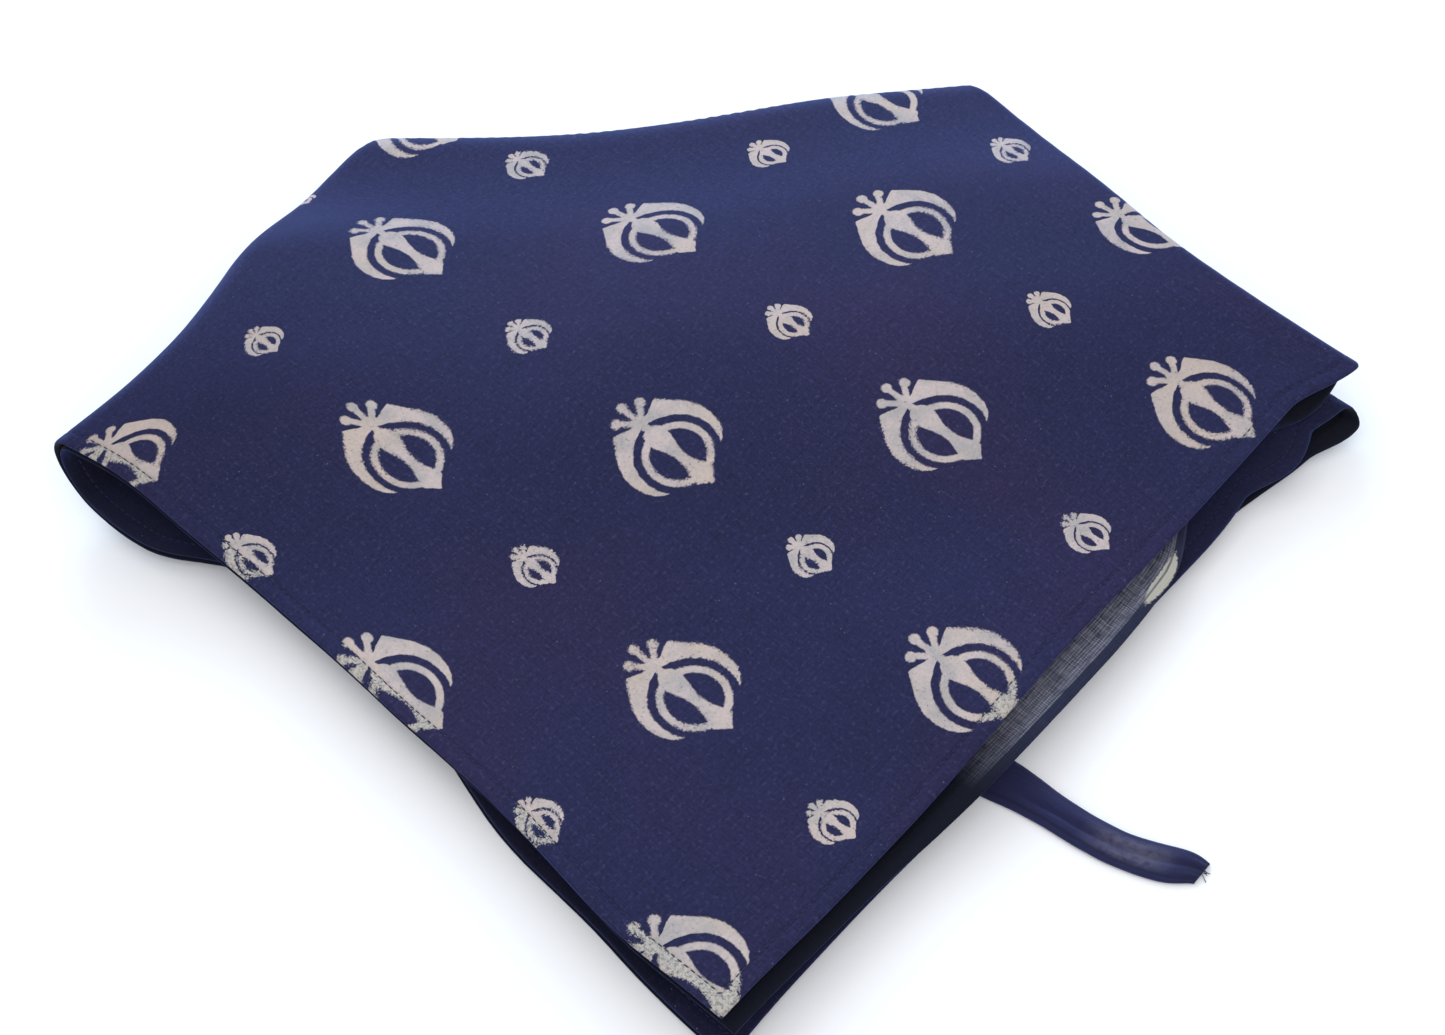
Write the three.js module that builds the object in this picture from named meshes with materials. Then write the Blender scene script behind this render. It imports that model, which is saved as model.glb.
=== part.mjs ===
// A rumal: a square printed cotton head wrap, folded in four and laid down, with a narrow tie strap at its hem.
// Millimetres, +Z up, the cloth lies on z = 0, and the origin is under the middle of the whole.
// The cloth is one wall. A flat point (s, t) of it, counted from the middle of the square, goes through
// three folds: the first along t = 0, the second along s = 0, and the last turns the back corner under.
import * as THREE from 'three';
import { mergeVertices } from 'three/addons/utils/BufferGeometryUtils.js';

// Driving sizes of the cloth
const CLOTH_SIDE = 700;
const WALL = 1.0;
const HEM_WIDTH = 6.5;
const HEM_WALL = 1.6;
// Length over which the wall thickens into the hem
const HEM_STEP = 1;
const LAYER_GAP = 0.6;
const HALF = CLOTH_SIDE / 2;

// The stack of four layers where it lies flattest, middle of the bottom wall to middle of the top wall
const STACK = 8;
// Height of the small loop of one pair of layers, as a share of the stack, at the left and at the right corner
const LOOP_SHARE = { left: 0.14, right: 0.36 };
// How much wider, as a further share of the stack, the loops stand open at the right corner
const LOOP_OPENS = { share: 0.08, s: 1.0, t: 0.0, reachS: 0.5, reachT: 0.22 };
// How far each of the two folds has drifted off the middle line of the cloth where it meets the hem, and the
// share of the half side at which the drift starts
const DRIFT = { first: 17, firstFrom: 0.5, second: 21.5, secondFrom: 0.45 };
// The last fold: where its ridge crosses the two side folds, and the inner radius of the bend
const RIDGE = { alongSecondFold: 182, alongFirstFold: 162, radius: 1.8 };
// Distance from the ridge over which the stack comes down from the tucked corner to the surface
const STEP_DOWN = { from: 100, to: 210 };
// How far the ridge bows forward at its middle, and over which share of the half side
const BOW = { depth: 8, s: 0.19, t: 0.33, reach: 0.3 };
// The folded square is turned so that its free corner points to the front
const TURN = THREE.MathUtils.degToRad(-41.5);

// Soft rises of the cloth above the flat stack. Places and reaches are shares of the half side,
// s from the left-back fold and t from the right-back fold, and loft is the extra height of the stack.
// A rise starts at a small distance from the ridge and is full a further distance on.
const RISE_START = 5;
const RISE_FULL = 60;
const RISES = [
  { place: 'middle', s: 0.55, t: 0.5, reachS: 0.5, reachT: 0.5, loft: 8.2 },
  { place: 'left corner', s: 0.0, t: 0.95, reachS: 0.45, reachT: 0.5, loft: 16.8 },
  { place: 'right corner', s: 0.95, t: 0.0, reachS: 0.5, reachT: 0.45, loft: 9.6 },
  { place: 'right hem', s: 0.95, t: 0.5, reachS: 0.45, reachT: 0.45, loft: 4.9 },
  { place: 'left hem', s: 0.5, t: 0.95, reachS: 0.45, reachT: 0.45, loft: 6.4 },
  { place: 'left-back fold', s: 0.05, t: 0.65, reachS: 0.35, reachT: 0.35, loft: 5.2 },
  { place: 'right-back fold', s: 0.65, t: 0.05, reachS: 0.35, reachT: 0.35, loft: 3.7 },
  { place: 'front corner', s: 1.0, t: 1.0, reachS: 0.4, reachT: 0.4, loft: 8.0 },
];

// Where the folded cloth is drawn in or out in plan, in millimetres along s and along t
const PULLS = [
  { place: 'left corner', s: 0.0, t: 1.0, reachS: 0.35, reachT: 0.5, alongS: 26.5, alongT: 0.7 },
  { place: 'left hem', s: 0.3, t: 1.0, reachS: 0.3, reachT: 0.3, alongS: -12.4, alongT: -11.2 },
  { place: 'left hem, front', s: 0.6, t: 1.0, reachS: 0.3, reachT: 0.3, alongS: -3.7, alongT: -6.1 },
  { place: 'left hem, middle', s: 0.48, t: 1.0, reachS: 0.2, reachT: 0.25, alongS: 0.5, alongT: -3.5 },
  { place: 'left hem, front half', s: 0.67, t: 1.0, reachS: 0.24, reachT: 0.2, alongS: 0.0, alongT: -4.5 },
  { place: 'front corner', s: 1.0, t: 1.0, reachS: 0.45, reachT: 0.45, alongS: -4.1, alongT: -3.5 },
  { place: 'right hem', s: 1.0, t: 0.5, reachS: 0.3, reachT: 0.4, alongS: -6.3, alongT: -3.3 },
  { place: 'right hem, back', s: 1.0, t: 0.15, reachS: 0.3, reachT: 0.25, alongS: -0.6, alongT: -0.8 },
  { place: 'right-back fold', s: 0.75, t: 0.0, reachS: 0.35, reachT: 0.25, alongS: 0.8, alongT: 11.8 },
  { place: 'ridge, right end', s: 0.45, t: 0.0, reachS: 0.3, reachT: 0.3, alongS: -5.6, alongT: -4.3 },
  { place: 'left-back fold', s: 0.0, t: 0.6, reachS: 0.25, reachT: 0.3, alongS: 5.3, alongT: 2.9 },
  { place: 'left-back fold, front', s: 0.0, t: 0.84, reachS: 0.3, reachT: 0.22, alongS: 7.0, alongT: 0.0 },
  { place: 'ridge, left end', s: 0.0, t: 0.5, reachS: 0.22, reachT: 0.22, alongS: 1.5, alongT: 4.5 },
  { place: 'right corner, tip', s: 1.0, t: 0.05, reachS: 0.25, reachT: 0.1, alongS: 9.0, alongT: -4.5 },
  { place: 'right corner', s: 1.0, t: 0.0, reachS: 0.3, reachT: 0.22, alongS: 0.0, alongT: 8.5 },
];

// How single layers lie aside from the others, in millimetres along s and along t. The lower layers are the third
// and the bottom one together.
const LAYER_SHIFTS = [
  { layers: 'second', place: 'right hem', s: 1.0, t: 0.5, reachS: 0.5, reachT: 0.36, alongS: 7.0, alongT: 0.0 },
  { layers: 'second', place: 'right corner', s: 1.0, t: 0.1, reachS: 0.4, reachT: 0.13, alongS: -12.0, alongT: 0.0 },
  { layers: 'third', place: 'right corner', s: 1.0, t: 0.05, reachS: 0.5, reachT: 0.2, alongS: -3.0, alongT: 0.0 },
  { layers: 'bottom', place: 'right corner', s: 1.0, t: 0.12, reachS: 0.4, reachT: 0.17, alongS: 7.5, alongT: 0.0 },
  { layers: 'lower', place: 'right corner', s: 1.0, t: 0.0, reachS: 0.5, reachT: 0.2, alongS: -2.0, alongT: 9.0 },
  { layers: 'lower', place: 'left hem', s: 0.4, t: 1.0, reachS: 0.33, reachT: 0.36, alongS: 0.0, alongT: -13.0 },
  { layers: 'lower', place: 'left hem, front', s: 0.67, t: 1.0, reachS: 0.24, reachT: 0.3, alongS: 0.0, alongT: 4.5 },
  { layers: 'lower', place: 'front corner', s: 1.0, t: 1.0, reachS: 0.2, reachT: 0.3, alongS: 0.0, alongT: 4.5 },
  { layers: 'lower', place: 'right hem, front', s: 1.0, t: 0.84, reachS: 0.3, reachT: 0.27, alongS: -4.0, alongT: 0.0 },
];

// How far the hems of the lower layers stick out past the top one at the right-hand side
const HEM_SLIP = { second: 5, third: 8.5, bottom: 6 };

// Driving sizes of the tie strap
const TIE = { width: 14, height: 3.2, visible: 70, hidden: 36, clearance: 0.3, place: 218.75 };
// The cloth's lift over the strap's sewn end: how far it reaches to the sides, in widths of the strap, how far
// it starts before the hem and over what length it grows, in hidden lengths, and its height over the strap's
const TIE_LIFT = { reach: 3, before: 2.2, growth: 1.2, height: 1.7 };
// Its sections from the sewn end to the free end: place along the strap, sideways drift as a share of its
// width, and width and height as shares of the strap's own
const TIE_SECTIONS = [
  { along: 0.0, drift: 0.3, width: 1.0, height: 0.5 },
  { along: 0.15, drift: 0.25, width: 1.1, height: 0.5 },
  { along: 0.3, drift: 0.2, width: 1.3, height: 0.5 },
  { along: 0.38, drift: 0.08, width: 1.25, height: 0.5 },
  { along: 0.46, drift: 0.0, width: 1.1, height: 0.85 },
  { along: 0.56, drift: -0.05, width: 0.95, height: 1.0 },
  { along: 0.66, drift: -0.12, width: 0.95, height: 1.0 },
  { along: 0.76, drift: -0.25, width: 0.97, height: 0.9 },
  { along: 0.85, drift: -0.5, width: 1.05, height: 0.8 },
  { along: 0.93, drift: -0.78, width: 1.1, height: 0.8 },
  { along: 0.975, drift: -0.95, width: 0.9, height: 0.8 },
  { along: 1.0, drift: -1.05, width: 0.55, height: 0.6 },
];

const HALF_PI = Math.PI / 2;
const lerp = THREE.MathUtils.lerp;
const smooth = (x) => THREE.MathUtils.smoothstep(x, 0, 1);
const gradient = Math.hypot(1 / RIDGE.alongFirstFold, 1 / RIDGE.alongSecondFold);
const cornerToRidge = 1 / gradient;

// A soft round bump with its top at one place, 1 there and 0 past its reach
function bump(u, v, row) {
  const q = ((u / HALF - row.s) / row.reachS) ** 2 + ((v / HALF - row.t) / row.reachT) ** 2;
  return q < 1 ? (1 - q) ** 2 : 0;
}

// Signed distance in plan from the ridge line, positive toward the front corner
function fromRidge(u, v) {
  return (u / RIDGE.alongFirstFold + v / RIDGE.alongSecondFold - 1) * cornerToRidge;
}

// The strap's lift of the cloth that lies over its sewn end
function tieLift(u, v) {
  const across = 1 - Math.abs(v - TIE.place) / (TIE_LIFT.reach * TIE.width);
  const along = (u - HALF + TIE_LIFT.before * TIE.hidden) / (TIE_LIFT.growth * TIE.hidden);
  const over = TIE.height * TIE_SECTIONS[0].height + TIE.clearance;
  return TIE_LIFT.height * over * Math.max(across, 0) * smooth(along);
}

// Half gaps of the two folds at a flat point: pair between two neighbours, nest between the two pairs
function gapsAt(u, v) {
  const clearOfRidge = smooth((fromRidge(u, v) - RISE_START) / RISE_FULL);
  let stack = STACK;
  for (const row of RISES) stack += row.loft * bump(u, v, row) * clearOfRidge;
  const wide = lerp(LOOP_SHARE.left, LOOP_SHARE.right, smooth(((u - v) / HALF) * 0.5 + 0.5));
  const share = wide + LOOP_OPENS.share * bump(u, v, LOOP_OPENS);
  const least = 2 * HEM_WALL - WALL + LAYER_GAP;
  const pair = Math.max(share * stack, least) / 2;
  return { pair, nest: stack / 2 - pair };
}

const firstDrift = (u) => DRIFT.first * smooth((u / HALF - DRIFT.firstFrom) / (1 - DRIFT.firstFrom));
const secondDrift = (v) => DRIFT.second * smooth((v / HALF - DRIFT.secondFrom) / (1 - DRIFT.secondFrom));

// One fold of a layer round a half circle. All layers of a fold wrap over the outermost one's arc, so that they
// stay side by side. It returns the distance from the fold line and the side, -1 to 1.
function fold(distance, radius, outerRadius) {
  const arc = outerRadius * HALF_PI;
  if (Math.abs(distance) >= arc) return { out: Math.abs(distance) - arc, side: Math.sign(distance) };
  return { out: -radius * Math.cos(distance / outerRadius), side: Math.sin(distance / outerRadius) };
}

// The back corner turned under along the ridge, and the stack lifted over it
function turnUnder({ x: across, y: along, z: height }) {
  const ridgeBase = 2 * RIDGE.radius + STACK + WALL / 2;
  const distance = fromRidge(across, along);
  const outerRadius = RIDGE.radius + STACK;
  let turned = distance;
  let z;
  if (distance > 0) {
    const down = smooth((STEP_DOWN.to - distance) / (STEP_DOWN.to - STEP_DOWN.from));
    z = height + lerp(WALL / 2, ridgeBase, down);
  } else {
    const radius = RIDGE.radius + height;
    const angle = Math.min(-distance / outerRadius, Math.PI);
    turned = angle < Math.PI ? -radius * Math.sin(angle) : -distance - Math.PI * outerRadius;
    z = ridgeBase - RIDGE.radius + radius * Math.cos(angle);
  }
  const moved = (turned - distance) * cornerToRidge;
  const s = across + moved / RIDGE.alongFirstFold;
  const t = along + moved / RIDGE.alongSecondFold;
  const bow = BOW.depth * bump(s, t, { s: BOW.s, t: BOW.t, reachS: BOW.reach, reachT: BOW.reach });
  return new THREE.Vector3(s + bow * Math.SQRT1_2, t + bow * Math.SQRT1_2, z);
}

// Turns fold coordinates (along the first fold, along the second fold, up) into the part's frame
function toFrame(p) {
  const c = Math.cos(TURN);
  const k = Math.sin(TURN);
  return new THREE.Vector3(p.x * c + p.y * k, p.x * k - p.y * c, p.z);
}

// Middle of the wall at the flat point (s, t) after the first two folds, before the corner is turned under
function stackPoint(s, t) {
  const u = Math.abs(s);
  const v = Math.abs(t);
  const { pair, nest } = gapsAt(u, v);
  const first = fold(t - firstDrift(u), pair, pair);
  const radius = nest + first.side * pair;
  const second = fold(s - secondDrift(v), radius, nest + pair);
  const inner = (1 - first.side) / 2;
  const lower = (1 - second.side) / 2;
  const slip =
    HEM_SLIP.second * inner * (1 - lower) + HEM_SLIP.third * inner * lower + HEM_SLIP.bottom * (1 - inner) * lower;
  let across = second.out + secondDrift(v) + (slip - 2 * secondDrift(v) * lower) * smooth(u / HALF);
  let along = first.out + firstDrift(u) - 2 * firstDrift(u) * inner * smooth(v / HALF);
  for (const row of PULLS) {
    const pull = bump(u, v, row);
    across += row.alongS * pull;
    along += row.alongT * pull;
  }
  const layerShares = { second: inner * (1 - lower), third: inner * lower, bottom: (1 - inner) * lower, lower };
  for (const row of LAYER_SHIFTS) {
    const shift = bump(u, v, row) * layerShares[row.layers];
    across += row.alongS * shift;
    along += row.alongT * shift;
  }
  return new THREE.Vector3(across, along, nest + pair + second.side * radius + tieLift(u, v));
}

// Half the distance over which the cloth's slope is measured
const PROBE = 0.02;

// The point that lies a distance off the middle of the wall, on its printed side if that is positive
function clothPoint(s, t, offset) {
  const alongS = stackPoint(s + PROBE, t).sub(stackPoint(s - PROBE, t));
  const alongT = stackPoint(s, t + PROBE).sub(stackPoint(s, t - PROBE));
  const printedNormal = alongS.cross(alongT).normalize();
  return toFrame(turnUnder(stackPoint(s, t).addScaledVector(printedNormal, offset)));
}

// Rings of the flat square round its middle: diamonds along the ridge first, squares along the hem last.
// The part of a ring that wraps a side fold is at most a set share of it.
const FIRST_STEPS = 3;
const SECOND_STEPS = 4;
const HALF_STEPS = 8;
const BEND_STEPS = 6;
const DIAMOND_END = 1.36;
const MOST_WRAP = 0.42;
const RINGS = [];
for (const size of [0.02, 0.05, 0.1, 0.3, 0.52, 0.7]) RINGS.push({ size, square: 0, wall: WALL });
for (let n = BEND_STEPS; n >= 0; n--) RINGS.push({ bend: (Math.PI * n) / BEND_STEPS, square: 0, wall: WALL });
for (const size of [1.1, 1.22]) RINGS.push({ size, square: 0, wall: WALL });
for (const square of [0, 0.14, 0.29, 0.44, 0.58, 0.71, 0.83, 0.93]) {
  RINGS.push({ size: DIAMOND_END, square, edge: HALF - HEM_WIDTH, wall: WALL });
}
RINGS.push({ size: DIAMOND_END, square: 1, edge: HALF - HEM_WIDTH - HEM_STEP, wall: WALL });
RINGS.push({ size: DIAMOND_END, square: 1, edge: HALF - HEM_WIDTH, wall: HEM_WALL });
RINGS.push({ size: DIAMOND_END, square: 1, edge: HALF, wall: HEM_WALL });

// The nodes of a quarter ring, from the first fold to the second: share of each fold's wrap, and place between
const QUARTER = [];
for (let n = 0; n < FIRST_STEPS; n++) QUARTER.push({ first: n / FIRST_STEPS, second: 1 });
for (let n = 0; n <= 2 * HALF_STEPS; n++) QUARTER.push({ first: 1, second: 1, between: n / (2 * HALF_STEPS) });
for (let n = SECOND_STEPS - 1; n >= 0; n--) QUARTER.push({ first: 1, second: n / SECOND_STEPS });

// The flat point of one node of one ring, in the quarter that the two signs name
function ringPoint(ring, node, signS, signT) {
  let size = ring.size ?? 1;
  const edge = ring.edge ?? 0;
  const spanS = () => (1 - ring.square) * RIDGE.alongFirstFold * size;
  const spanT = () => (1 - ring.square) * RIDGE.alongSecondFold * size;
  const nearFirst = gapsAt(spanS() + ring.square * edge, 0);
  const nearSecond = gapsAt(0, spanT() + ring.square * edge);
  const firstArc = nearFirst.pair * HALF_PI;
  const secondArc = (nearSecond.nest + nearSecond.pair) * HALF_PI;
  if (ring.bend !== undefined) {
    const wrapped = secondArc / RIDGE.alongFirstFold + firstArc / RIDGE.alongSecondFold;
    size = 1 + wrapped - (ring.bend * (RIDGE.radius + STACK)) / cornerToRidge;
  }
  const slopeS = spanS() + 2 * ring.square * edge;
  const slopeT = spanT() + 2 * ring.square * edge;
  const firstEnd = Math.min(firstArc / slopeT, MOST_WRAP);
  const secondEnd = 1 - Math.min(secondArc / slopeS, MOST_WRAP);
  let along;
  if (node.first < 1) along = node.first * firstEnd;
  else if (node.second < 1) along = 1 - node.second * (1 - secondEnd);
  else if (node.between < 0.5) along = lerp(firstEnd, 0.5, 2 * node.between);
  else along = lerp(0.5, secondEnd, 2 * node.between - 1);
  const p = spanS() * (1 - along) + ring.square * edge * Math.min(1, 2 - 2 * along);
  const q = spanT() * along + ring.square * edge * Math.min(1, 2 * along);
  return {
    s: signS * p + secondDrift(q) * (1 - p / HALF),
    t: signT * q + firstDrift(p) * (1 - q / HALF),
  };
}

// One whole ring of flat points, counter-clockwise through the four quarters
function ringPoints(ring) {
  const forward = QUARTER.slice(0, -1);
  const backward = QUARTER.slice(1).reverse();
  const quarters = [
    { nodes: forward, signS: 1, signT: 1 },
    { nodes: backward, signS: -1, signT: 1 },
    { nodes: forward, signS: -1, signT: -1 },
    { nodes: backward, signS: 1, signT: -1 },
  ];
  return quarters.flatMap(({ nodes, signS, signT }) => nodes.map((node) => ringPoint(ring, node, signS, signT)));
}

// A closed body from vertices and triangles
function bodyGeometry(vertices, triangles) {
  const geometry = new THREE.BufferGeometry();
  geometry.setAttribute('position', new THREE.Float32BufferAttribute(vertices.flatMap((p) => p.toArray()), 3));
  geometry.setIndex(triangles.flat());
  return geometry;
}

// The cloth: a printed face and a wrong face over the same rings, joined round the hem
function clothGeometry() {
  const rings = RINGS.map((ring) => ({ wall: ring.wall, points: ringPoints(ring) }));
  const count = rings[0].points.length;
  const vertices = [];
  const triangles = [];
  const faces = [
    { sign: 1, offset: () => WALL / 2 },
    { sign: -1, offset: (wall) => WALL / 2 - wall },
  ];
  const starts = [];
  for (const face of faces) {
    const centre = vertices.length;
    starts.push(centre + 1);
    vertices.push(clothPoint(0, 0, face.offset(WALL)));
    for (const ring of rings) {
      for (const { s, t } of ring.points) vertices.push(clothPoint(s, t, face.offset(ring.wall)));
    }
    const add = (a, b, c) => triangles.push(face.sign > 0 ? [a, c, b] : [a, b, c]);
    for (let n = 0; n < count; n++) {
      const next = (n + 1) % count;
      add(centre, centre + 1 + n, centre + 1 + next);
      for (let r = 0; r + 1 < rings.length; r++) {
        const inner = centre + 1 + r * count;
        const outer = inner + count;
        add(inner + n, outer + n, outer + next);
        add(inner + n, outer + next, inner + next);
      }
    }
  }
  const rim = (rings.length - 1) * count;
  for (let n = 0; n < count; n++) {
    const next = (n + 1) % count;
    const [printed, wrong] = starts.map((start) => start + rim);
    triangles.push([printed + n, printed + next, wrong + next]);
    triangles.push([printed + n, wrong + next, wrong + n]);
  }
  return bodyGeometry(vertices, triangles);
}

// The tie strap: sections with a flat underside and a soft crown with one crease, along the strap's line
const TIE_OUTLINE = [
  { across: -0.5, up: 0.3 }, { across: -0.44, up: 0.0 }, { across: 0.44, up: 0.0 }, { across: 0.5, up: 0.3 },
  { across: 0.4, up: 0.75 }, { across: 0.2, up: 1.0 }, { across: 0.02, up: 0.82 }, { across: -0.16, up: 0.95 },
  { across: -0.4, up: 0.7 },
];
function tieGeometry() {
  const vertices = [];
  const triangles = [];
  const count = TIE_OUTLINE.length;
  const start = clothEdge - TIE.hidden;
  for (const section of TIE_SECTIONS) {
    const s = start + section.along * (TIE.hidden + TIE.visible);
    for (const corner of TIE_OUTLINE) {
      const t = TIE.place + (section.drift + corner.across * section.width) * TIE.width;
      vertices.push(toFrame(new THREE.Vector3(s, t, corner.up * section.height * TIE.height)));
    }
  }
  for (let r = 0; r + 1 < TIE_SECTIONS.length; r++) {
    for (let n = 0; n < count; n++) {
      const next = (n + 1) % count;
      const low = r * count;
      triangles.push([low + n, low + count + next, low + next], [low + n, low + count + n, low + count + next]);
    }
  }
  const last = (TIE_SECTIONS.length - 1) * count;
  for (let n = 1; n + 1 < count; n++) {
    triangles.push([0, n, n + 1], [last, last + n + 1, last + n]);
  }
  return bodyGeometry(vertices, triangles);
}

// Place of the bottom layer's hem over the strap, measured along the first fold
const clothEdge = (() => {
  const hem = clothPoint(-HALF, TIE.place, 0);
  return hem.x * Math.cos(TURN) + hem.y * Math.sin(TURN);
})();

const cottonPrint = new THREE.MeshStandardMaterial({ color: 0x2b2d5c, roughness: 0.9, metalness: 0 });
const cottonTie = new THREE.MeshStandardMaterial({ color: 0x23264d, roughness: 0.85, metalness: 0 });

function namedMesh(name, geometry, material) {
  const mesh = new THREE.Mesh(mergeVertices(geometry, 1e-3), material);
  mesh.name = name;
  return mesh;
}

const rumal = new THREE.Group();
rumal.add(namedMesh('cloth', clothGeometry(), cottonPrint));
rumal.add(namedMesh('tie', tieGeometry(), cottonTie));

// The origin goes under the middle of the whole
const box = new THREE.Box3().setFromObject(rumal);
const middle = box.getCenter(new THREE.Vector3());
rumal.position.set(-middle.x, -middle.y, -box.min.z);
rumal.updateMatrixWorld(true);

export default rumal;
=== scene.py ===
# %% [markdown]
# # A folded rumal
# A rumal is a square of light printed cotton that is worn as a head wrap. Here it lies folded in four, with
# its back corner turned under and its narrow tie strap sticking out under the hem. The frame comes from the
# CAD model, which is one stiff solid for the cloth and one for the strap. Both are soft in the real thing,
# so each gets a detailed cloth piece here that takes the solid's place.

# %% Load the frame
import math
import bpy
import numpy as np
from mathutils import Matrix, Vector


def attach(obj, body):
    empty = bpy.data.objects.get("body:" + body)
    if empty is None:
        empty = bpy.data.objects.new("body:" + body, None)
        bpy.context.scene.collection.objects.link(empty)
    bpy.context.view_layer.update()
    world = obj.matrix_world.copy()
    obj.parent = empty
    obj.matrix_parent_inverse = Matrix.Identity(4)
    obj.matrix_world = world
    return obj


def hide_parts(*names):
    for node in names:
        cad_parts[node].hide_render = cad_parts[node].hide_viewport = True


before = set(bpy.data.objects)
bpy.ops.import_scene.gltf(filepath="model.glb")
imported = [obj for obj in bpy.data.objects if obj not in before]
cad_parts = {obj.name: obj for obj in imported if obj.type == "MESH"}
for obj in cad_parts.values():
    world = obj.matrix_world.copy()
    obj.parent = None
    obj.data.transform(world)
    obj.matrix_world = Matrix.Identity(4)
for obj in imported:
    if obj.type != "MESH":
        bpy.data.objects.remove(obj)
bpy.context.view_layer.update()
MM = 0.001


# %% Small helpers for objects and meshes
def placed(name, data):
    """An object with this data, at the origin of the scene."""
    made = bpy.data.objects.new(name, data)
    bpy.context.collection.objects.link(made)
    return made


def finished_mesh(thing):
    """The mesh of an object after its modifiers, or of a curve with its round section."""
    return bpy.data.meshes.new_from_object(thing.evaluated_get(bpy.context.evaluated_depsgraph_get()))


def smooth_faces(mesh):
    mesh.polygons.foreach_set("use_smooth", np.ones(len(mesh.polygons), dtype=bool))


def flat_map(mesh, name, places):
    """A named map that gives each corner of a face the flat place of its point."""
    corners = np.empty(len(mesh.loops), dtype=np.int32)
    mesh.loops.foreach_get("vertex_index", corners)
    mesh.uv_layers.new(name=name).data.foreach_set("uv", places[corners].ravel())


print("helpers ready")

# %% [markdown]
# ## Camera
# The photograph looks down on the cloth from the front. The printed grid is a good ruler: a camera was
# fitted to the centres of the prints, and it stands 738 mm from a point near the middle and looks down at
# 56 degrees.

# %% Camera
LENS_MM = 53.07
SENSOR_MM = 36.0
AIM = Vector((0.7, 0.8, 0.0)) * MM
DISTANCE = 738 * MM
ELEVATION = math.radians(56.2)

camera_data = bpy.data.cameras.new("photo_camera")
camera_data.lens = LENS_MM
camera_data.sensor_width = SENSOR_MM
camera_data.sensor_fit = "HORIZONTAL"
camera_data.clip_start = 0.01
camera = placed("photo_camera", camera_data)
camera.location = AIM + DISTANCE * Vector((0, -math.cos(ELEVATION), math.sin(ELEVATION)))
camera.rotation_euler = (math.pi / 2 - ELEVATION, 0, 0)
bpy.context.scene.camera = camera
print("camera at", [round(x, 4) for x in camera.location])

# %% [markdown]
# ## Floor and light
# Cotton has no gloss, so its form shows through soft shade alone. A bright even surround fills every fold.
# Low bluish daylight from behind catches the back edges, which slope away from the eye, and a lamp at the
# back left gives the folds a light and a dark side. The floor is nearly white.

# %% Floor and light
HALF_FLOOR = 4.0
floor_corners = [(x * HALF_FLOOR, y * HALF_FLOOR, 0) for x, y in ((-1, -1), (1, -1), (1, 1), (-1, 1))]
floor_mesh = bpy.data.meshes.new("floor")
floor_mesh.from_pydata(floor_corners, [], [(0, 1, 2, 3)])
floor = placed("floor", floor_mesh)

world = bpy.data.worlds.new("soft_surround")
world.use_nodes = True
surround = world.node_tree.nodes["Background"]
surround.inputs["Color"].default_value = (0.93, 0.95, 1.0, 1)
surround.inputs["Strength"].default_value = 0.95
bpy.context.scene.world = world
bpy.context.scene.view_settings.view_transform = "Standard"


def soft_lamp(name, place, side, watts, colour=(1, 1, 1)):
    """A square lamp that faces the middle of the cloth."""
    data = bpy.data.lights.new(name, "AREA")
    data.size = side
    data.energy = watts
    data.color = colour
    lamp = placed(name, data)
    lamp.location = place
    lamp.rotation_euler = (-Vector(place)).to_track_quat("-Z", "Y").to_euler()


soft_lamp("window_behind", (-0.3, 2.2, 0.75), 1.5, 46, colour=(0.5, 0.78, 1.0))
soft_lamp("window_back_left", (-1.0, 1.3, 1.5), 1.2, 8)
soft_lamp("fill_front", (0.6, -1.2, 1.8), 1.6, 5, colour=(1.0, 0.94, 0.9))
print("floor and three lamps")

# %% [markdown]
# ## Shader maths in plain expressions
# A procedural finish is a sum of small formulas: how far a point is from a print's edge, which thread it
# lies on. Written as Math nodes by hand they are hard to read. The class below wraps one shader socket, so
# that an expression such as `(width - distance) / edge` adds the nodes by itself.

# %% Shader helper
class Value:
    """One output of a material's nodes, which can be used in an expression."""

    def __init__(self, finish, socket):
        self.finish = finish
        self.socket = socket

    def maths(self, operation, *others, clamp=False):
        values = dict(enumerate((self, *others)))
        return self.finish.node("ShaderNodeMath", {"operation": operation, "use_clamp": clamp}, values)

    def __add__(self, other):
        return self.maths("ADD", other)

    __radd__ = __add__

    def __sub__(self, other):
        return self.maths("SUBTRACT", other)

    def __rsub__(self, other):
        return self.maths("MULTIPLY_ADD", -1.0, other)

    def __mul__(self, other):
        return self.maths("MULTIPLY", other)

    __rmul__ = __mul__

    def __truediv__(self, other):
        return self.maths("DIVIDE", other)

    def __abs__(self):
        return self.maths("ABSOLUTE")

    def least(self, other):
        return self.maths("MINIMUM", other)

    def most(self, other):
        return self.maths("MAXIMUM", other)

    def clamped(self):
        return self.maths("ADD", 0.0, clamp=True)

    def ramp(self, start, length):
        """0 up to the start, then evenly up to 1 over the length."""
        return ((self - start) / length).clamped()


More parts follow.
